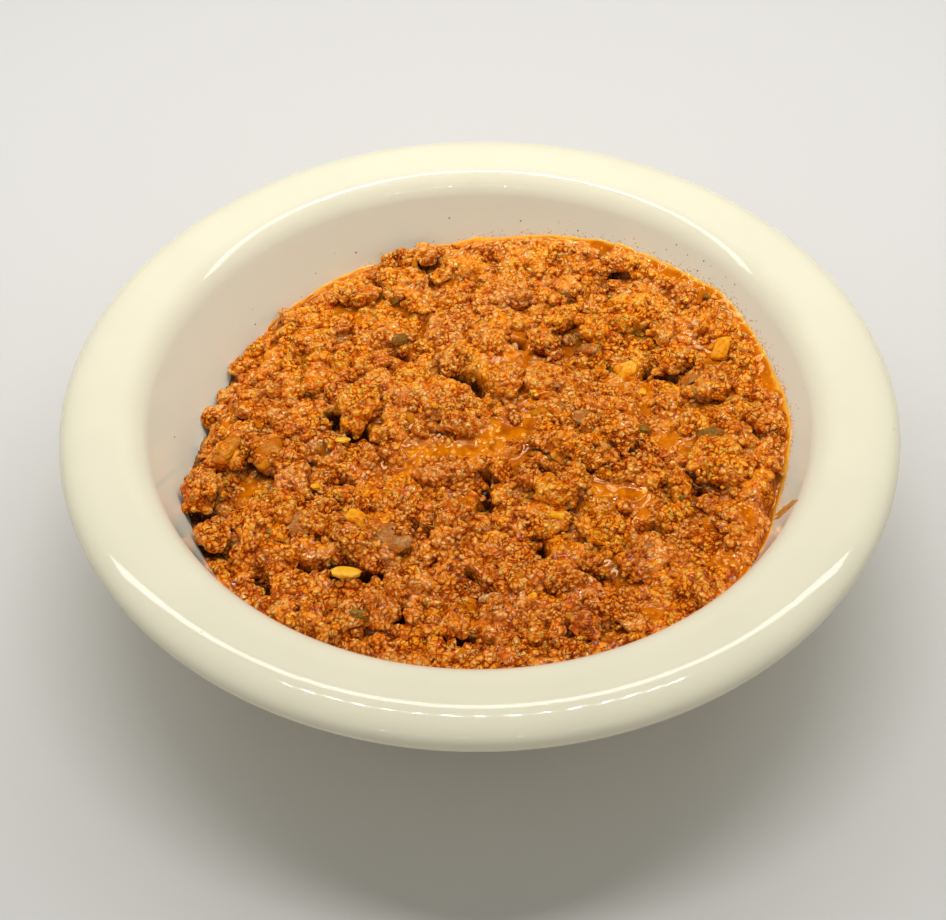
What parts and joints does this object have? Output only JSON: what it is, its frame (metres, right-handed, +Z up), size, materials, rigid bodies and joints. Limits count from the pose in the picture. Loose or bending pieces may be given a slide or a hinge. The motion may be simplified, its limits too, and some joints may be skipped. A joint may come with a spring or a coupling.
{
  "type": "bowl of chili con carne",
  "caption": "Thick minced-meat chili con carne filling a round, rolled-edge bowl of cream glazed china, ready to serve.",
  "frame": {"origin": "centre of the foot ring's resting plane, under the middle of the bowl", "axes": "+Z up along the bowl's axis; -Y towards the diner; the chili lies a little higher on the +X side"},
  "size_m": [0.165, 0.165, 0.045],
  "materials": {
    "glazed_china": "gloss",
    "meat_sauce": "satin"
  },
  "bodies": {
    "root": {"bowl": "glazed_china", "chili": "meat_sauce"}
  },
  "joints": []
}
